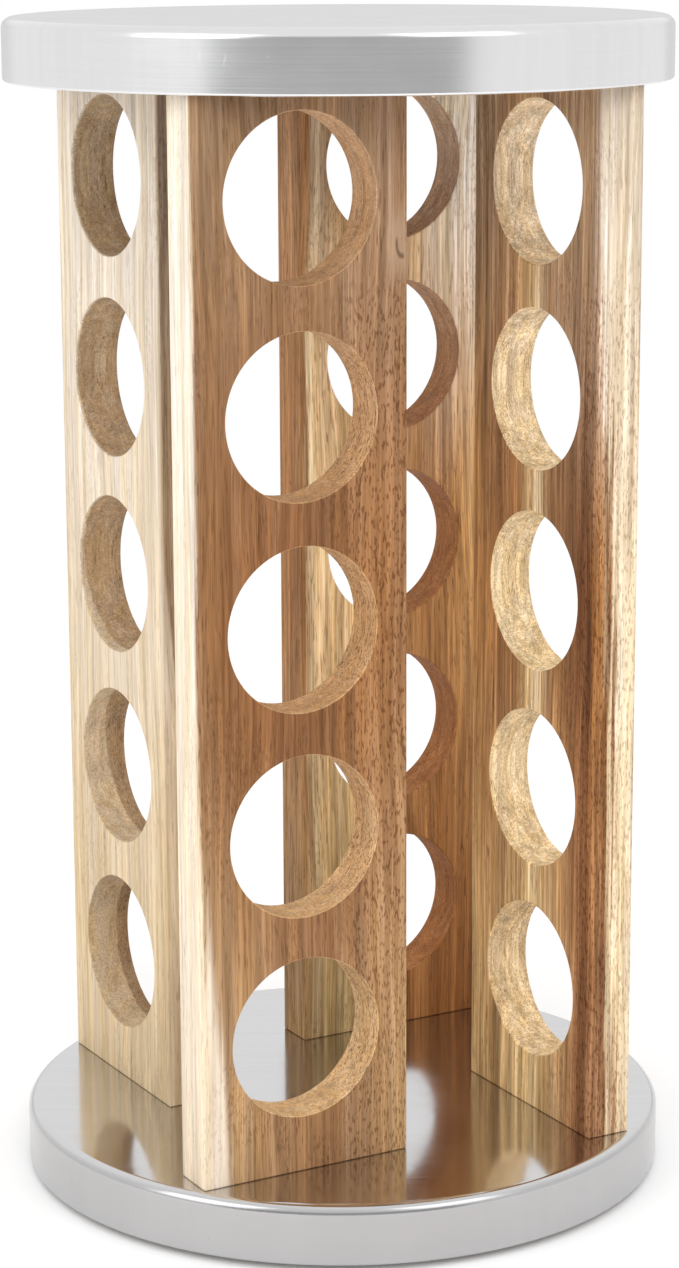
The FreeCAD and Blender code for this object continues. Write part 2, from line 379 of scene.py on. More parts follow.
def pores(n, grain, board, x, z, sappy):
    """Open pores: long dashes, and short crowded ones where the grain dips at the surface."""
    seed = board["seed"]
    long_ones = n.smooth(n.noise(grain, (0.5, 0.5, 6.5), seed + 4, 1), 0.58, 0.68)
    short_ones = n.smooth(n.noise(grain, (0.55, 0.55, 2.3), seed + 14, 1), 0.53, 0.64)
    start, end = board["curl"]
    dips = n.smooth(x, start, end)
    patchy = n.smooth(n.noise(grain, (12, 12, 40), seed + 15, 1), 0.52, 0.64, 0.0, 0.6)
    dips = n.math("MAXIMUM", n.times(dips, n.smooth(z, 262.0, 240.0)), patchy)
    crowd = n.spread(n.noise(grain, (4.5, 4.5, 90), seed + 6), 0.35, 0.65, 0.3, 1.0)
    dashes = n.plus(n.times(long_ones, n.times(crowd, n.minus(1.0, dips))), n.times(short_ones, dips))
    return n.times(dashes, n.spread(sappy, 0.0, 1.0, 1.0, board["sap_pores"]))


def knot(n, colour, place, x, z):
    """A small knot with a pale halo and a dark rim on one side."""
    across = n.minus(x, place[0])
    along = n.times(n.minus(z, place[1]), 0.55)
    reach = n.reach(across, along)
    halo = n.times(n.smooth(reach, 7.5, 2.0), 0.42)
    colour = n.mix(halo, colour, srgb(186, 160, 134))
    ring = n.smooth(n.math("ABSOLUTE", n.minus(reach, 1.9)), 0.7, 0.1)
    rim = n.times(ring, n.smooth(n.plus(across, along), -0.2, -1.8))
    return n.mix(n.times(rim, 0.75), colour, srgb(92, 66, 48))


def heart_and_sap(n, board, place, grain, wander, ragged):
    """A board's colour before its figure, and how much of it is sapwood."""
    x, y, z = place
    low, high = panel_box()
    width = (high.x - low.x) * PER_MM
    length = (high.z - low.z) * PER_MM
    across = n.math("DIVIDE", n.plus(n.plus(n.plus(x, wander), ragged), width / 2), width)
    rows = [n.ramp(across, [(stop, srgb(*tone)) for stop, tone in board[row]])
            for row in ("foot", "middle", "top")]
    heart = by_height(n, rows, z, length)
    sap = n.mix(n.smooth(z, 0.0, length), srgb(*board["sap_foot"]), srgb(*board["sap_top"]))
    lines = n.smooth(n.noise(grain, (2.2, 2.2, 140), board["seed"] + 11, 2), 0.48, 0.62)
    aged = n.tinted(sap, (0.8, 0.77, 0.71, 1.0))
    sap = n.mix(n.times(lines, board["sap_figure"]), sap, aged)
    uneven = n.times(ragged, board["ragged"])
    sappy = sap_share(n, board, n.plus(x, n.times(wander, 0.4)), y, z, uneven)
    return n.mix(sappy, heart, sap), sappy


def walls_with_painted_light(n, board, colour, sappy, z):
    """Gives a hole's wall its tones from foot to top, partly the wall's own colour and partly painted
    light and shade: paler where light reaches the walls, darker deep inside the tower.
    """
    low, high = panel_box()
    tones = [srgb(*tone) for tone in board["wall"]]
    share = n.spread(sappy, 0.0, 1.0, 0.75, 0.3)
    return n.mix(share, colour, by_height(n, tones, z, (high.z - low.z) * PER_MM))


def figured(n, board, colour, sappy, grain, fibre, contrast):
    """Streaks from broad to fine, and a drift between golden and rosy."""
    seed = board["seed"]
    broad = n.spread(n.noise(grain, (5, 5, 170), seed + 1), 0.32, 0.68, 0.86, 1.13)
    streak = n.spread(n.noise(grain, (1.4, 1.4, 75), seed + 2), 0.3, 0.7, 0.82, 1.16)
    fine = n.spread(fibre, 0.3, 0.7, 0.84, 1.14)
    shade = n.times(n.times(broad, streak), fine)
    calm = n.times(n.spread(sappy, 0.0, 1.0, board["figure"], board["sap_figure"]), contrast)
    colour = n.tinted(colour, darker_and_redder(n, n.power(shade, calm)))
    drift = n.smooth(n.noise(grain, (3.2, 3.2, 110), seed + 12, 1), 0.36, 0.64)
    golden = (1.05, 0.985, 0.88, 1.0)
    rosy = (1.0, 0.985, 1.0, 1.0)
    return n.tinted(colour, n.mix(drift, golden, rosy))


def wood(side, wall):
    """Oiled hardwood for one board, either its planed faces or the walls of its bored holes."""
    wanted = bpy.context.scene.tower_wood
    board = BOARDS[side]
    seed = board["seed"]
    low, high = panel_box()
    material, n = new_material(side + ("_hole_wall_wood" if wall else "_panel_wood"))
    middle = (low.x + high.x) / 2
    shift = (-middle * PER_MM, -low.y * PER_MM, -low.z * PER_MM)
    here = n.place(turn=-QUARTER_TURNS[side], shift=shift)
    x, y, z = n.split(here)

    # The grain wanders a little on its way up, and its bands have ragged borders.
    wander = n.spread(n.noise(here, (34, 34, 130), seed, 1), 0.3, 0.7, -1.9, 1.9)
    ragged = n.spread(n.noise(here, (1.3, 1.3, 55), seed + 5, 1), 0.3, 0.7, -0.9, 0.9)
    grain = n.join(n.plus(x, wander), n.plus(y, n.times(wander, 0.6)), z)
    fibre = n.noise(grain, (0.42, 0.42, 22), seed + 3, 3)

    colour, sappy = heart_and_sap(n, board, (x, y, z), grain, wander, ragged)
    contrast = wanted.figure
    if wall:
        # Painted light and shade on the hole walls, mixed with their own colour.
        colour = walls_with_painted_light(n, board, colour, sappy, z)
        contrast *= 0.55
    colour = figured(n, board, colour, sappy, grain, fibre, contrast)
    dashes = pores(n, grain, board, x, z, sappy)
    deep = n.tinted(colour, (0.44, 0.34, 0.26, 1.0))
    colour = n.mix(n.times(dashes, wanted.pore_depth), colour, deep)
    if board["knot"]:
        colour = knot(n, colour, board["knot"], n.plus(x, n.times(ragged, 0.5)), z)
    rough = n.plus(n.spread(fibre, 0.3, 0.7, -0.05, 0.06), n.times(dashes, 0.12))
    if wall:
        speckle = n.spread(n.noise(here, (0.5, 0.5, 0.62), seed + 8, 3, 0.7), 0.34, 0.66, 0.76, 1.2)
        chatter = n.spread(n.noise(here, (7, 3.2, 7), seed + 9), 0.3, 0.7, 0.9, 1.08)
        colour = n.tinted(colour, darker_and_redder(n, n.times(speckle, chatter)))
        rough = n.plus(rough, n.spread(speckle, 0.76, 1.2, 0.2, 0.08))
    height = n.minus(n.times(fibre, 0.4), dashes)
    n.shader(Base_Color=colour, Roughness=n.plus(rough, wanted.roughness), IOR=1.46,
             Specular_IOR_Level=0.22, Normal=n.bump(height, wanted.grain_depth * PER_MM, 0.6))
    return material


# -------------------------------------------------------------------- metal

def brushed_steel(node):
    """Stainless sheet: brushed along the flat face and round the skirt, with faint wear."""
    wanted = bpy.context.scene.tower_steel
    # The base's steel gets a darker colour than the cap's: painted shade, so that the floor and panels
    # it mirrors look dimmer.
    metal = wanted.cap_colour if node == "cap_pan" else wanted.shaded_base_colour
    material, n = new_material(node + "_stainless")
    here = n.place()
    straight = n.place(turn=math.degrees(wanted.brush_angle))
    x, y, _ = n.split(here)
    radius = n.reach(x, y)
    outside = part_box(node)[1].x * PER_MM
    skirt = n.smooth(radius, outside - 1.6, outside - 0.2)

    face_lines = n.noise(straight, (60, 0.22, 40), 2.0, 3, 0.7)
    skirt_lines = n.noise(here, (70, 70, 0.2), 9.0, 3, 0.7)
    lines = n.plus(n.times(face_lines, n.minus(1.0, skirt)), n.times(skirt_lines, skirt))
    wide_lines = n.noise(straight, (120, 2.2, 60), 6.0, 2)
    handled = n.noise(here, (26, 26, 18), 14.0, 3, 0.6)
    scratch = n.smooth(n.noise(straight, (9, 0.35, 9), 31.0, 1), 0.7, 0.78)

    tone = n.times(n.spread(lines, 0.3, 0.7, 0.98, 1.02),
                   n.spread(wide_lines, 0.3, 0.7, 0.985, 1.015))
    # Painted shade: the base's skirt is darker than its flat face, for the dim floor beside it that it
    # mirrors.
    if node == "base_pan":
        tone = n.times(tone, n.spread(skirt, 0.0, 1.0, 1.0, wanted.skirt_painted_shade))
    rough = n.plus(n.spread(lines, 0.3, 0.7, -0.035, 0.035),
                   n.spread(handled, 0.35, 0.65, -0.02, 0.03))
    rough = n.plus(rough, n.plus(n.times(skirt, wanted.skirt_extra), n.times(scratch, 0.06)))
    n.shader(Base_Color=n.shaded(metal, tone), Metallic=1.0,
             Roughness=n.plus(rough, wanted.roughness),
             Normal=n.bump(lines, wanted.brush_depth * PER_MM, 0.35))
    return material


def zinc():
    """Zinc plating on the screws: cool, a little cloudy, rubbed brighter in places."""
    material, n = new_material("zinc_plating")
    here = n.place()
    cloud = n.noise(here, (1.6, 1.6, 1.6), 4.0, 3)
    rubbed = n.smooth(n.noise(here, (0.5, 0.5, 0.5), 12.0, 2), 0.55, 0.7)
    colour = n.mix(cloud, (0.46, 0.48, 0.52, 1.0), (0.66, 0.67, 0.66, 1.0))
    colour = n.mix(rubbed, colour, (0.76, 0.76, 0.75, 1.0))
    n.shader(Base_Color=colour, Metallic=1.0, Roughness=n.spread(cloud, 0.3, 0.7, 0.22, 0.42),
             Normal=n.bump(cloud, 0.03, 0.4))
    return material


def turned_metal():
    """Lathe-turned ring: fine grooves that run round the axis."""
    material, n = new_material("turned_aluminium")
    here = n.place()
    x, y, z = n.split(here)
    grooves = n.noise(n.join(n.reach(x, y), 0.0, z), (0.12, 1.0, 0.12), 7.0, 2, 0.6)
    film = n.noise(here, (14, 14, 6), 18.0, 3)
    colour = n.mix(grooves, (0.52, 0.53, 0.55, 1.0), (0.74, 0.75, 0.77, 1.0))
    colour = n.mix(n.smooth(film, 0.52, 0.7, 0.0, 0.3), colour, (0.36, 0.35, 0.33, 1.0))
    n.shader(Base_Color=colour, Metallic=1.0, Roughness=n.spread(grooves, 0.3, 0.7, 0.2, 0.36),
             Normal=n.bump(grooves, 0.02, 0.5))
    return material


def ball_steel():
    """Polished bearing balls with a film of grease."""
    material, n = new_material("polished_ball_steel")
    here = n.place()
    film = n.noise(here, (1.2, 1.2, 1.2), 5.0, 3)
    colour = n.mix(n.smooth(film, 0.5, 0.66), (0.78, 0.79, 0.8, 1.0), (0.56, 0.53, 0.46, 1.0))
    n.shader(Base_Color=colour, Metallic=1.0, Roughness=n.spread(film, 0.3, 0.7, 0.04, 0.2),
             Normal=n.bump(film, 0.01, 0.3))
    return material


# ------------------------------------------------------------- other finishes

def nylon():
    """Moulded nylon of the ball cage."""
    material, n = new_material("moulded_nylon")
    here = n.place()
    flow = n.noise(here, (5, 5, 2), 3.0, 3)
    grit = n.noise(here, (0.25, 0.25, 0.25), 8.0, 2)
    colour = n.mix(flow, (0.70, 0.67, 0.57, 1.0), (0.82, 0.80, 0.72, 1.0))
    n.shader(Base_Color=colour, Roughness=n.spread(grit, 0.3, 0.7, 0.38, 0.52), IOR=1.53,
             Normal=n.bump(grit, 0.02, 0.4))
    return material


def fibreboard():
    """Bare fibreboard: felted fibres in two browns, and a few dark chips."""
    material, n = new_material("bare_fibreboard")
    here = n.place()
    felt = n.noise(here, (0.5, 0.5, 0.35), 6.0, 4, 0.7)
    cloud = n.noise(here, (9, 9, 3), 16.0, 2)
    chips = n.smooth(n.noise(here, (1.0, 0.4, 0.3), 26.0, 1), 0.68, 0.74)
    colour = n.mix(felt, (0.20, 0.12, 0.06, 1.0), (0.42, 0.29, 0.17, 1.0))
    colour = n.mix(n.spread(cloud, 0.3, 0.7, 0.0, 0.35), colour, (0.34, 0.22, 0.12, 1.0))
    colour = n.mix(n.times(chips, 0.7), colour, (0.10, 0.06, 0.03, 1.0))
    n.shader(Base_Color=colour, Roughness=n.spread(felt, 0.3, 0.7, 0.78, 0.92),
             Normal=n.bump(felt, 0.08, 0.6))
    return material


def powder_coat():
    """Fine orange-peel powder coat on the foot plate, scuffed paler in a few places."""
    material, n = new_material("black_powder_coat")
    here = n.place()
    peel = n.cells(here, (0.8, 0.8, 0.8), 2.0)
    scuff = n.smooth(n.noise(here, (8, 1.2, 4), 21.0, 3), 0.62, 0.72)
    dust = n.noise(here, (22, 22, 22), 33.0, 3)
    colour = n.mix(peel, (0.012, 0.012, 0.014, 1.0), (0.03, 0.03, 0.033, 1.0))
    paler = n.plus(n.times(scuff, 0.25), n.times(dust, 0.06))
    colour = n.mix(paler, colour, (0.22, 0.22, 0.22, 1.0))
    rough = n.plus(n.spread(peel, 0.0, 0.7, 0.36, 0.5), n.times(scuff, 0.15))
    n.shader(Base_Color=colour, Roughness=rough, Normal=n.bump(peel, 0.05, 0.5))
    return material


def rubber():
    """Moulded rubber pads: matt, slightly dusty and worn grey on the floor side."""
    material, n = new_material("pad_rubber_matt")
    here = n.place()
    height = n.split(here)[2]
    grit = n.noise(here, (0.35, 0.35, 0.35), 5.0, 3, 0.7)
    dust = n.noise(here, (6, 6, 2), 13.0, 3)
    worn = n.times(n.smooth(height, 0.9, 0.1), n.smooth(dust, 0.4, 0.65))
    colour = n.mix(grit, (0.018, 0.018, 0.018, 1.0), (0.045, 0.044, 0.042, 1.0))
    colour = n.mix(n.times(worn, 0.35), colour, (0.16, 0.15, 0.14, 1.0))
    n.shader(Base_Color=colour, Roughness=n.spread(grit, 0.3, 0.7, 0.72, 0.9),
             Normal=n.bump(grit, 0.05, 0.6))
    return material


# ------------------------------------------------------------------- shaping

def finished(bm, name, body, node, materials, turn=0.0):
    """Makes a bmesh the piece that stands for a CAD node, and frees the bmesh."""
    mesh = bpy.data.meshes.new(name)
    bm.to_mesh(mesh)
    bm.free()
    if turn:
        mesh.transform(Matrix.Rotation(math.radians(turn), 4, "Z"))
    mesh.shade_smooth()
    for material in materials:
        mesh.materials.append(material)
    piece = bpy.data.objects.new(name, mesh)
    bpy.context.scene.collection.objects.link(piece)
    # Large flat faces keep straight normals right up to their rounded edges.
    flatten = piece.modifiers.new("flat_faces", "WEIGHTED_NORMAL")
    flatten.weight = 100
    flatten.keep_sharp = True
    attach(piece, body)
    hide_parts(node)


def repaint(nodes, material):
    """Gives CAD nodes a finish, in place of the plain one that they came with."""
    for name in nodes:
        piece = frame["nodes"][name]
        if not piece.material_slots:
            piece.data.materials.append(material)
        for slot in piece.material_slots:
            slot.material = material


def level_ring(bm, radius, height):
    """The edges of a lathe-turned shape that run round at one radius and height."""
    def there(vert):
        distance = math.hypot(vert.co.x, vert.co.y)
        return abs(distance - radius) < NEAR and abs(vert.co.z - height) < NEAR
    return [e for e in bm.edges if there(e.verts[0]) and there(e.verts[1])]


def round_ring(bm, radius, height, offset, segments):
    """Rounds one of those rings of edges."""
    bmesh.ops.bevel(bm, geom=level_ring(bm, radius, height), offset=offset, segments=segments,
                    profile=0.5, affect="EDGES", material=-1)


def ring_edges(verts):
    """The edges at some vertices, each once and in the same order on every run."""
    return list(dict.fromkeys(e for v in verts for e in v.link_edges))


def sheet_hole(bm, centre, radius, levels):
    """Rings of edges for a hole through the flat sheet, one on each of its two faces."""
    rings = []
    for height in levels:
        place = Matrix.Translation((centre[0], centre[1], height))
        made = bmesh.ops.create_circle(bm, cap_ends=False, segments=24, radius=radius, matrix=place)
        rings.append(ring_edges(made["verts"]))
    return rings


def screw_places():
    """Where the foot screws pass through the base pan: the middle of each screw's head."""
    mesh = frame["nodes"]["panel_foot_screws"].data
    lowest = min(v.co.z for v in mesh.vertices)
    heads = [v.co for v in mesh.vertices if v.co.z < lowest + NEAR]
    groups = []
    for co in heads:
        for group in groups:
            if (group[0].xy - co.xy).length < SCREW_HEAD:
                group.append(co)
                break
        else:
            groups.append([co])
    middles = []
    for group in groups:
        xs = [co.x for co in group]
        ys = [co.y for co in group]
        middles.append(((min(xs) + max(xs)) / 2, (min(ys) + max(ys)) / 2))
    return middles


def pan(node):
    """A drawn steel pan: its section is turned about the spin axis, then its edges are rounded."""
    wanted = bpy.context.scene.tower_steel
    low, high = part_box(node)
    outer = high.x
    inner = outer - wanted.sheet
    hem = outer - 2 * wanted.sheet
    under = high.z - wanted.sheet
    hem_top = low.z + wanted.hem
    section = [(0.0, high.z), (outer, high.z), (outer, low.z), (hem, low.z),
               (hem, hem_top), (inner, hem_top), (inner, under), (0.0, under)]
    bm = bmesh.new()
    verts = [bm.verts.new((radius, 0.0, height)) for radius, height in section]
    edges = [bm.edges.new(pair) for pair in zip(verts, verts[1:])]
    bmesh.ops.spin(bm, geom=verts + edges, cent=(0, 0, 0), axis=(0, 0, 1), angle=math.tau,
                   steps=wanted.steps, use_merge=True)
    bmesh.ops.remove_doubles(bm, verts=bm.verts, dist=NEAR)
    round_ring(bm, outer, high.z, wanted.edge_radius, 8)
    round_ring(bm, inner, under, wanted.edge_radius - wanted.sheet, 4)
    round_ring(bm, outer, low.z, wanted.sheet * HEM_ROUNDING, 4)
    round_ring(bm, hem, low.z, wanted.sheet * HEM_ROUNDING, 4)
    round_ring(bm, hem, hem_top, HEM_EASE, 2)
    if node == "base_pan":
        bore_sheet(bm, (high.z, under))
    bmesh.ops.recalc_face_normals(bm, faces=bm.faces)
    return bm


def bore_sheet(bm, levels):
    """Opens the clear holes for the panel screws in the flat face."""
    fans = [f for f in bm.faces if any(v.co.xy.length < NEAR for v in f.verts)]
    bmesh.ops.delete(bm, geom=fans, context="FACES")
    rims = [[e for e in bm.edges if e.is_boundary and abs(e.verts[0].co.z - level) < NEAR]
            for level in levels]
    pairs = [sheet_hole(bm, centre, SCREW_HOLE_R, levels) for centre in screw_places()]
    for index, rim in enumerate(rims):
        circles = [edge for pair in pairs for edge in pair[index]]
        bmesh.ops.triangle_fill(bm, edges=rim + circles, use_beauty=True)
    for pair in pairs:
        bmesh.ops.bridge_loops(bm, edges=pair[0] + pair[1])


def jar_holes(side):
    """The centre and radius of each jar hole in a panel, in metres."""
    name = "jar_hole_" + side + "_"
    mine = [m for m in MOUNTS if m["name"].startswith(name)]
    return [(Vector(m["pos_m"]), m["dims"]["r_mm"] * MM) for m in mine]


def board_blank():
    """The front board: its outline and holes filled on one face, then drawn out to thickness."""
    wanted = bpy.context.scene.tower_wood
    low, high = panel_box()
    bm = bmesh.new()
    corners = [(low.x, low.z), (high.x, low.z), (high.x, high.z), (low.x, high.z)]
    verts = [bm.verts.new((x, low.y, z)) for x, z in corners]
    outline = [bm.edges.new(pair) for pair in zip(verts, verts[1:] + verts[:1])]
    upright = Matrix.Rotation(math.pi / 2, 4, "X")
    for centre, radius in jar_holes("front"):
        place = Matrix.Translation((centre.x, low.y, centre.z)) @ upright
        made = bmesh.ops.create_circle(bm, cap_ends=False, segments=wanted.hole_steps,
                                       radius=radius, matrix=place)
        outline += ring_edges(made["verts"])
    filled = bmesh.ops.triangle_fill(bm, edges=outline, use_beauty=True)
    skin = [g for g in filled["geom"] if isinstance(g, bmesh.types.BMFace)]
    drawn = bmesh.ops.extrude_face_region(bm, geom=skin, use_keep_orig=True)
    moved = [g for g in drawn["geom"] if isinstance(g, bmesh.types.BMVert)]
    bmesh.ops.translate(bm, verts=moved, vec=(0.0, high.y - low.y, 0.0))
    bmesh.ops.recalc_face_normals(bm, faces=bm.faces)
    return bm


def hole_wall_faces(bm):
    """The faces that line the jar holes."""
    found = []
    for face in bm.faces:
        middle = face.calc_center_median()
        for centre, radius in jar_holes("front"):
            near = math.hypot(middle.x - centre.x, middle.z - centre.z) < radius + NEAR
            if near and abs(face.normal.y) < 0.5:
                found.append(face)
    return found


def jar_board():
    """The front board with eased edges. Its hole walls have the second material."""
    wanted = bpy.context.scene.tower_wood
    low, high = panel_box()
    bm = board_blank()
    for level in (low.y, high.y):
        skin = [f for f in bm.faces if all(abs(v.co.y - level) < NEAR for v in f.verts)]
        bmesh.ops.inset_region(bm, faces=skin, thickness=wanted.border, use_boundary=True,
                               use_even_offset=True)
    for face in hole_wall_faces(bm):
        face.material_index = 1
    sharp = [e for e in bm.edges if len(e.link_faces) == 2 and e.calc_face_angle() > SHARP]
    rims = [e for e in sharp if any(f.material_index == 1 for f in e.link_faces)]
    edges = [e for e in sharp if e not in rims]
    bmesh.ops.bevel(bm, geom=edges, offset=wanted.edge_ease, segments=3, profile=0.5,
                    affect="EDGES", material=-1)
    rims = [e for e in rims if e.is_valid]
    bmesh.ops.bevel(bm, geom=rims, offset=wanted.rim_ease, segments=3, profile=0.5,
                    affect="EDGES", material=-1)
    bmesh.ops.recalc_face_normals(bm, faces=bm.faces)
    return bm


# --------------------------------------------------------------------- stage

def toward(azimuth, elevation):
    """A direction from the tower. Azimuth 0 is toward the camera, and 90 to the camera's right."""
    heading = bpy.context.scene.tower_stage.heading
    a = math.radians(azimuth)
    e = math.radians(elevation)
    near = Vector((-math.sin(heading), -math.cos(heading), 0.0))
    right = Vector((math.cos(heading), -math.sin(heading), 0.0))
    return (near * math.cos(a) + right * math.sin(a)) * math.cos(e) + Vector((0, 0, math.sin(e)))


def softbox(name, azimuth, elevation, size, share, mirrored):
    """A soft square light that faces the middle of the tower."""
    middle = (CAD_LOW + CAD_HIGH) / 2
    light = bpy.data.lights.new(name, "AREA")
    light.shape = "SQUARE"
    light.size = size
    light.energy = bpy.context.scene.tower_stage.key * share
    lamp = bpy.data.objects.new(name, light)
    way = toward(azimuth, elevation)
    lamp.location = middle + way * SOFTBOX_DISTANCE
    lamp.rotation_mode = "QUATERNION"
    lamp.rotation_quaternion = way.to_track_quat("Z", "Y")
    lamp.visible_glossy = mirrored
    bpy.context.scene.collection.objects.link(lamp)


def patch(n, value, wave, angles):
    """1 inside a grey patch of the studio and 0 outside, by the sine or cosine of an angle."""
    full, gone = angles
    return n.smooth(value, wave(math.radians(gone)), wave(math.radians(full)))


def studio_sky():
    """A white studio, greyer low down on the camera's side and along the foot of the far wall."""
    wanted = bpy.context.scene.tower_stage
    world = bpy.data.worlds.new("studio")
    bpy.context.scene.world = world
    world.use_nodes = True
    world.node_tree.nodes.clear()
    n = Nodes(world.node_tree)
    way = n.put("ShaderNodeTexCoord").outputs["Generated"]
    x, y, z = n.split(way)
    near = toward(0, 0)
    level = n.math("SQRT", n.math("MAXIMUM", n.minus(1.0, n.power(z, 2.0)), 1e-4))
    facing = n.math("DIVIDE", n.plus(n.times(x, near.x), n.times(y, near.y)), level)
    gap = n.times(patch(n, facing, math.cos, GAP_SIDES), patch(n, z, math.sin, GAP_HEIGHT))
    band = n.times(patch(n, facing, math.cos, BAND_SIDES), patch(n, z, math.sin, BAND_HEIGHT))
    shade = n.plus(n.times(gap, wanted.gap), n.times(band, wanted.back_band))
    strength = n.times(n.minus(1.0, shade), wanted.sky)
    seen = n.put("ShaderNodeLightPath").outputs["Is Camera Ray"]
    background = n.put("ShaderNodeBackground")
    n.feed(background.inputs["Color"], (1.0, 1.0, 1.0, 1.0))
    white = n.plus(n.times(strength, n.minus(1.0, seen)), seen)
    n.feed(background.inputs["Strength"], white)
    output = n.put("ShaderNodeOutputWorld")
    world.node_tree.links.new(background.outputs[0], output.inputs["Surface"])


def floor_paint():
    """White floor, very slightly mottled."""
    material, n = new_material("studio_floor")
    mottle = n.noise(n.place(), (40, 40, 40), 1.0, 2)
    tone = n.spread(mottle, 0.3, 0.7, 0.985, 1.0)
    colour = n.shaded(bpy.context.scene.tower_stage.floor_colour, tone)
    n.shader(Base_Color=colour, Roughness=n.spread(mottle, 0.3, 0.7, 0.7, 0.8),
             Emission_Color=(1.0, 1.0, 1.0, 1.0), Emission_Strength=FLOOR_GLOW)
    return material


def floor():
    """The floor that the tower stands on."""
    bm = bmesh.new()
    radius = bpy.context.scene.tower_stage.floor_radius
    bmesh.ops.create_circle(bm, cap_ends=True, segments=96, radius=radius)
    mesh = bpy.data.meshes.new("floor")
    bm.to_mesh(mesh)
    bm.free()
    mesh.materials.append(floor_paint())
    ground = bpy.data.objects.new("floor", mesh)
    bpy.context.scene.collection.objects.link(ground)


def camera():
    """The camera, a little above the cap and looking down at the tower."""
    wanted = bpy.context.scene.tower_stage
    data = bpy.data.cameras.new("camera")
    data.lens = wanted.lens
    data.sensor_width = 36.0
    data.clip_start = 0.02
    data.clip_end = 50.0
    eye = bpy.data.objects.new("camera", data)
    place = toward(0, 0) * wanted.distance + Vector((0, 0, wanted.eye_height))
    turn = Matrix.Rotation(-wanted.heading - wanted.pan, 4, "Z")
    tilt = Matrix.Rotation(math.pi / 2 - wanted.pitch, 4, "X")
    roll = Matrix.Rotation(wanted.roll, 4, "Z")
    eye.matrix_world = Matrix.Translation(place) @ turn @ tilt @ roll
    bpy.context.scene.collection.objects.link(eye)
    bpy.context.scene.camera = eye


# ------------------------------------------------------------------ settings

class TowerWood(PropertyGroup):
    """Sizes and finish of the jar panels."""
    edge_ease: FloatProperty(
        name="Edge Rounding", description="Rounding of a panel's outer edges",
        default=0.5 * MM, min=0.0, subtype="DISTANCE", unit="LENGTH")
    rim_ease: FloatProperty(
        name="Hole Rounding", description="Rounding of the rims of the jar holes",
        default=0.45 * MM, min=0.0, subtype="DISTANCE", unit="LENGTH")
    border: FloatProperty(
        name="Border", description="Width of the strip of faces beside each edge",
        default=1.2 * MM, min=0.0, subtype="DISTANCE", unit="LENGTH")
    hole_steps: IntProperty(
        name="Hole Steps", description="Straight steps round each jar hole", default=96, min=16)
    figure: FloatProperty(
        name="Figure", description="Contrast of the streaks in the wood", default=1.0, min=0.0, max=2.0)
    pore_depth: FloatProperty(
        name="Pores", description="How dark the open pores are", default=0.78, min=0.0, max=1.0)
    roughness: FloatProperty(
        name="Roughness", description="Roughness of the oiled wood", default=0.62, min=0.0, max=1.0)
    grain_depth: FloatProperty(
        name="Grain Depth", description="Depth of the open grain",
        default=0.05 * MM, min=0.0, subtype="DISTANCE", unit="LENGTH")


class TowerSteel(PropertyGroup):
    """Sizes and finish of the two pans."""
    sheet: FloatProperty(
        name="Sheet", description="Thickness of the steel sheet",
        default=0.8 * MM, min=0.0, subtype="DISTANCE", unit="LENGTH")
    edge_radius: FloatProperty(
        name="Edge Radius", description="Outer radius of the drawn edge",
        default=3.0 * MM, min=0.0, subtype="DISTANCE", unit="LENGTH")
    hem: FloatProperty(
        name="Hem", description="Height of the folded hem along the rim",
        default=3.0 * MM, min=0.0, subtype="DISTANCE", unit="LENGTH")
    steps: IntProperty(name="Steps", description="Straight steps round each pan", default=192, min=24)
    cap_colour: FloatVectorProperty(
        name="Cap Colour", description="Colour of the cap's steel", size=3, subtype="COLOR",
        default=(0.77, 0.77, 0.775), min=0.0, max=1.0)
    # The base is the same steel as the cap; its darker colour is painted shade for the dim floor and
    # panels it mirrors.
    shaded_base_colour: FloatVectorProperty(
        name="Base Colour", description="Colour of the base's duller steel", size=3, subtype="COLOR",
        default=(0.66, 0.655, 0.66), min=0.0, max=1.0)
    roughness: FloatProperty(
        name="Roughness", description="Roughness of the flat faces", default=0.12, min=0.0, max=1.0)
    skirt_extra: FloatProperty(
        name="Skirt Roughness", description="Extra roughness of the skirts",
        default=0.08, min=0.0, max=1.0)
    # Painted shade on the base's skirt, for the dim floor that it mirrors.
    skirt_painted_shade: FloatProperty(
        name="Base Skirt", description="Brightness of the base's skirt, next to its flat face",
        default=0.75, min=0.0, max=1.0)
    brush_angle: FloatProperty(
        name="Brush Angle", description="Direction of the brush marks on the flat faces",
        default=HEADING, subtype="ANGLE", unit="ROTATION")
    brush_depth: FloatProperty(
        name="Brush Depth", description="Depth of the brush marks",
        default=0.002 * MM, min=0.0, subtype="DISTANCE", unit="LENGTH")


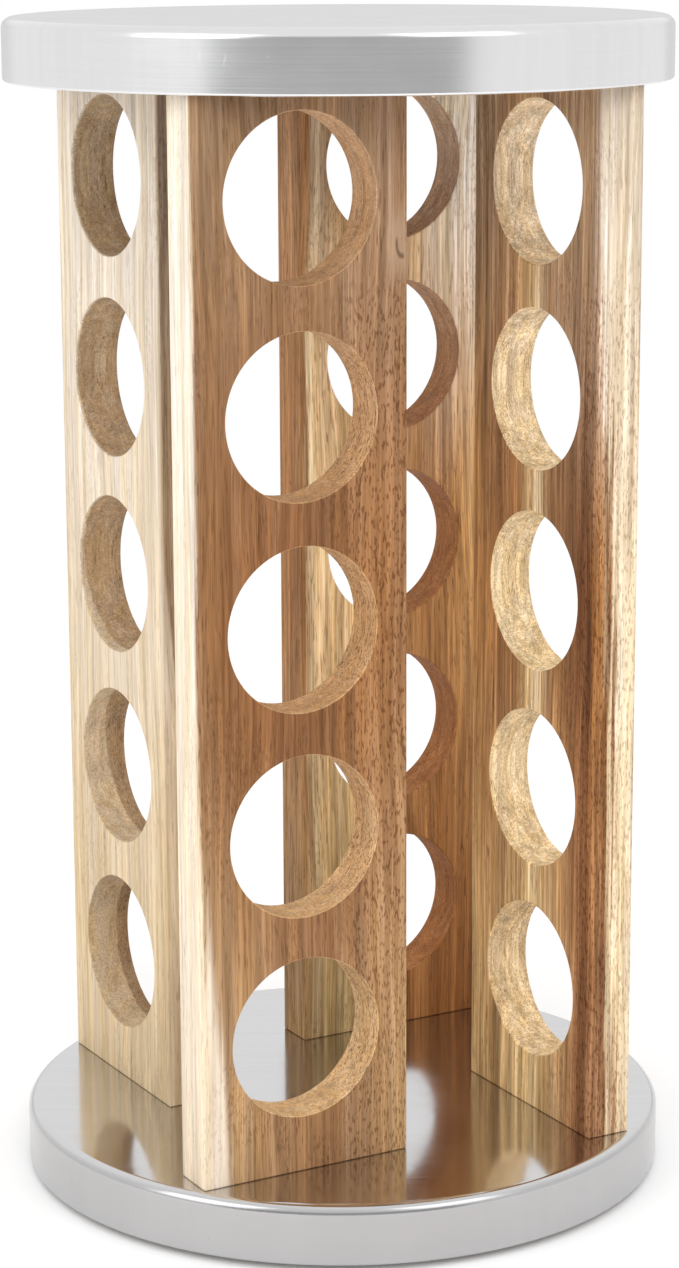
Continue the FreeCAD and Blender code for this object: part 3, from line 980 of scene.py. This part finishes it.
class TowerStage(PropertyGroup):
    """Camera, lights and floor."""
    heading: FloatProperty(
        name="Heading", description="Direction that the camera looks in, from the tower's front",
        default=HEADING, subtype="ANGLE", unit="ROTATION")
    pitch: FloatProperty(
        name="Pitch", description="How far the camera looks down",
        default=math.radians(12.75), subtype="ANGLE", unit="ROTATION")
    pan: FloatProperty(
        name="Pan", description="How far the camera looks past the spin axis",
        default=math.radians(-0.02), subtype="ANGLE", unit="ROTATION")
    roll: FloatProperty(
        name="Roll", description="Tilt of the camera's horizon",
        default=math.radians(-0.24), subtype="ANGLE", unit="ROTATION")
    distance: FloatProperty(
        name="Distance", description="Level distance from the spin axis to the camera",
        default=0.9347, subtype="DISTANCE", unit="LENGTH")
    eye_height: FloatProperty(
        name="Eye Height", description="Height of the camera above the floor",
        default=0.3717, subtype="DISTANCE", unit="LENGTH")
    lens: FloatProperty(name="Lens", description="Focal length in millimetres", default=92.3, min=1.0)
    sky: FloatProperty(name="Sky", description="Brightness of the white studio", default=0.97, min=0.0)
    gap: FloatProperty(
        name="Gap", description="How much greyer the camera's side of the studio is",
        default=0.51, min=0.0, max=1.0)
    back_band: FloatProperty(
        name="Back Band", description="How much greyer the studio's far wall is low down",
        default=0.22, min=0.0, max=1.0)
    key: FloatProperty(name="Key Light", description="Power of the front softbox", default=4.6, min=0.0)
    floor_radius: FloatProperty(
        name="Floor Radius", description="Radius of the floor",
        default=1.5, subtype="DISTANCE", unit="LENGTH")
    floor_colour: FloatVectorProperty(
        name="Floor Colour", description="Colour of the floor", size=3, subtype="COLOR",
        default=(0.93, 0.93, 0.93), min=0.0, max=1.0)


# ----------------------------------------------------------------- operators

class TOWER_OT_pans(Operator):
    """Make the smooth steel cap and base pans"""
    bl_idname = "tower.pans"
    bl_label = "Steel Pans"

    def execute(self, context):
        for node in PANS:
            finished(pan(node), node + "_shell", TOWER, node, [brushed_steel(node)])
        return {"FINISHED"}


class TOWER_OT_jar_panels(Operator):
    """Make the four wooden jar panels"""
    bl_idname = "tower.jar_panels"
    bl_label = "Jar Panels"

    def execute(self, context):
        for side, turn in QUARTER_TURNS.items():
            finishes = [wood(side, False), wood(side, True)]
            node = "jar_panel_" + side
            finished(jar_board(), node + "_board", TOWER, node, finishes, turn)
        return {"FINISHED"}


class TOWER_OT_core_boards(Operator):
    """Finish the fibreboard discs inside the pans"""
    bl_idname = "tower.core_boards"
    bl_label = "Core Boards"

    def execute(self, context):
        repaint(["cap_board", "base_board"], fibreboard())
        return {"FINISHED"}


class TOWER_OT_screws(Operator):
    """Finish the zinc-plated screws"""
    bl_idname = "tower.screws"
    bl_label = "Screws"

    def execute(self, context):
        names = ["panel_top_screws", "panel_foot_screws", "bearing_ring_screws", "foot_plate_screws"]
        repaint(names, zinc())
        return {"FINISHED"}


class TOWER_OT_bearing(Operator):
    """Finish the rings, balls and cage of the ball bearing"""
    bl_idname = "tower.bearing"
    bl_label = "Ball Bearing"

    def execute(self, context):
        repaint(["bearing_outer_ring", "bearing_inner_ring"], turned_metal())
        repaint(["bearing_balls"], ball_steel())
        repaint(["bearing_cage"], nylon())
        return {"FINISHED"}


class TOWER_OT_foot(Operator):
    """Finish the foot plate and its rubber pads"""
    bl_idname = "tower.foot"
    bl_label = "Foot"

    def execute(self, context):
        repaint(["foot_plate"], powder_coat())
        repaint(sorted(n for n in frame["nodes"] if n.startswith("foot_pad_")), rubber())
        return {"FINISHED"}


class TOWER_OT_stage(Operator):
    """Set up the floor, the studio lights and the camera"""
    bl_idname = "tower.stage"
    bl_label = "Stage"

    def execute(self, context):
        context.scene.view_settings.view_transform = "Standard"
        floor()
        studio_sky()
        for name, settings in SOFTBOXES.items():
            softbox(name, *settings)
        camera()
        return {"FINISHED"}


class TOWER_PT_sidebar(Panel):
    """Lists the steps in the order that they are run"""
    bl_idname = "TOWER_PT_sidebar"
    bl_label = SIDEBAR
    bl_space_type = "VIEW_3D"
    bl_region_type = "UI"
    bl_category = SIDEBAR

    def draw(self, context):
        for operator in OPERATORS:
            self.layout.operator(operator.bl_idname)
        for settings in (context.scene.tower_wood, context.scene.tower_steel, context.scene.tower_stage):
            box = self.layout.box()
            for name in settings.bl_rna.properties.keys():
                if name not in {"rna_type", "name"}:
                    box.prop(settings, name)


OPERATORS = (
    TOWER_OT_pans,
    TOWER_OT_jar_panels,
    TOWER_OT_core_boards,
    TOWER_OT_screws,
    TOWER_OT_bearing,
    TOWER_OT_foot,
    TOWER_OT_stage,
)
SETTINGS = {"tower_wood": TowerWood, "tower_steel": TowerSteel, "tower_stage": TowerStage}
CLASSES = (*SETTINGS.values(), *OPERATORS, TOWER_PT_sidebar)


def register():
    for cls in CLASSES:
        bpy.utils.register_class(cls)
    for name, group in SETTINGS.items():
        setattr(bpy.types.Scene, name, PointerProperty(type=group))


def unregister():
    for name in SETTINGS:
        delattr(bpy.types.Scene, name)
    for cls in reversed(CLASSES):
        bpy.utils.unregister_class(cls)


def main():
    """Runs every step in order."""
    register()
    bpy.ops.tower.pans()
    bpy.ops.tower.jar_panels()
    bpy.ops.tower.core_boards()
    bpy.ops.tower.screws()
    bpy.ops.tower.bearing()
    bpy.ops.tower.foot()
    bpy.ops.tower.stage()


if __name__ == "__main__":
    main()
